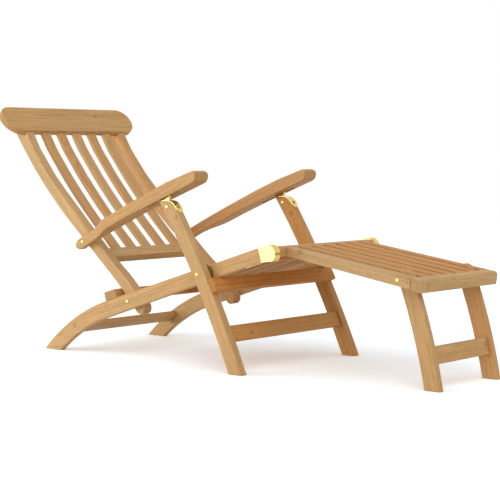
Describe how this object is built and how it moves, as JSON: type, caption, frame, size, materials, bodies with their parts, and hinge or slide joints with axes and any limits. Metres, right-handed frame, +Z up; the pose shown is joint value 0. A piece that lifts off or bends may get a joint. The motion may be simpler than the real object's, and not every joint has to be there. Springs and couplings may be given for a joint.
{
  "type": "steamer deck chair",
  "caption": "Folding slatted hardwood deck chair with a reclining back, sweeping side rails, flat arms, a hinged leg rest on its own legs and brass fittings.",
  "frame": {"origin": "on the floor, midway between the sides and midway between the foremost and rearmost points as pictured", "axes": "+X to the sitter's left, +Y to the rear, +Z up; the sitter faces -Y"},
  "size_m": [0.616, 1.769, 0.8372],
  "materials": {
    "pale_timber": "oiled, fine sanded, pale tan",
    "golden_timber": "oiled, fine sanded, golden tan",
    "brown_timber": "oiled, fine sanded, browner",
    "polished_brass": "polished, lacquered"
  },
  "bodies": {
    "seat_frame": {"seat_rail_right": "pale_timber", "hinge_cap_right": "polished_brass", "hinge_pin_right": "polished_brass", "back_pivot_bolt_right": "polished_brass", "seat_rail_left": "pale_timber", "hinge_cap_left": "polished_brass", "hinge_pin_left": "polished_brass", "back_pivot_bolt_left": "polished_brass", "recline_stop_bar": "golden_timber", "rear_stretcher": "golden_timber", "seat_front_rail": "brown_timber", "seat_rear_rail": "brown_timber", "seat_slat_1": "golden_timber", "seat_slat_2": "golden_timber", "seat_slat_3": "golden_timber", "seat_slat_4": "golden_timber", "seat_slat_5": "golden_timber", "leg_rub_disc_right": "polished_brass", "leg_rub_disc_left": "polished_brass"},
    "backrest": {"back_stile_right": "pale_timber", "back_stile_left": "pale_timber", "back_bottom_rail": "golden_timber", "back_slat_1": "golden_timber", "back_slat_2": "golden_timber", "back_slat_3": "golden_timber", "back_slat_4": "golden_timber", "back_slat_5": "golden_timber", "headrest": "pale_timber"},
    "right_arm": {"arm_right": "pale_timber", "arm_rack_right": "polished_brass", "arm_pivot_bolt_right": "polished_brass"},
    "left_arm": {"arm_left": "pale_timber", "arm_rack_left": "polished_brass", "arm_pivot_bolt_left": "polished_brass"},
    "front_leg_frame": {"front_leg_right": "pale_timber", "leg_pivot_bolt_right": "polished_brass", "arm_hook_right": "polished_brass", "hook_bolt_right": "polished_brass", "hook_screw_right": "polished_brass", "front_leg_left": "pale_timber", "leg_pivot_bolt_left": "polished_brass", "arm_hook_left": "polished_brass", "hook_bolt_left": "polished_brass", "hook_screw_left": "polished_brass", "front_leg_cross_rail": "brown_timber", "front_leg_stretcher": "golden_timber"},
    "leg_rest": {"leg_rest_side_rail_right": "pale_timber", "prop_bolt_right": "polished_brass", "leg_rest_side_rail_left": "pale_timber", "prop_bolt_left": "polished_brass", "leg_rest_hinge_rail": "golden_timber", "leg_rest_end_rail": "golden_timber", "leg_rest_slat_1": "golden_timber", "leg_rest_slat_2": "golden_timber", "leg_rest_slat_3": "golden_timber", "leg_rest_slat_4": "golden_timber", "leg_rest_slat_5": "golden_timber"},
    "leg_rest_props": {"prop_leg_right": "pale_timber", "prop_leg_left": "pale_timber", "prop_leg_stretcher": "golden_timber"}
  },
  "joints": [
    {"name": "back_fold", "type": "hinge", "parent": "seat_frame", "child": "backrest", "pos_m": [0, 0.27144, 0.1905], "axis": [1, 0, 0], "range_deg": [0, 100]},
    {"name": "right_arm_fold", "type": "hinge", "parent": "backrest", "child": "right_arm", "pos_m": [0, 0.48144, 0.378], "axis": [1, 0, 0], "range_deg": [-98, 0]},
    {"name": "left_arm_fold", "type": "hinge", "parent": "backrest", "child": "left_arm", "pos_m": [0, 0.48144, 0.378], "axis": [1, 0, 0], "range_deg": [-98, 0]},
    {"name": "front_legs_fold", "type": "hinge", "parent": "seat_frame", "child": "front_leg_frame", "pos_m": [0, -0.07636, 0.3002], "axis": [1, 0, 0], "range_deg": [0, 89]},
    {"name": "leg_rest_tilt", "type": "hinge", "parent": "seat_frame", "child": "leg_rest", "pos_m": [0, -0.33356, 0.3735], "axis": [1, 0, 0], "range_deg": [-50, 36]},
    {"name": "leg_rest_props_fold", "type": "hinge", "parent": "leg_rest", "child": "leg_rest_props", "pos_m": [0, -0.76356, 0.315], "axis": [1, 0, 0], "range_deg": [0, 100]}
  ],
  "couplings": [
    {"joint": "right_arm_fold", "follows": "back_fold", "ratio": -0.97},
    {"joint": "left_arm_fold", "follows": "back_fold", "ratio": -0.97},
    {"joint": "front_legs_fold", "follows": "back_fold", "ratio": 0.88}
  ]
}
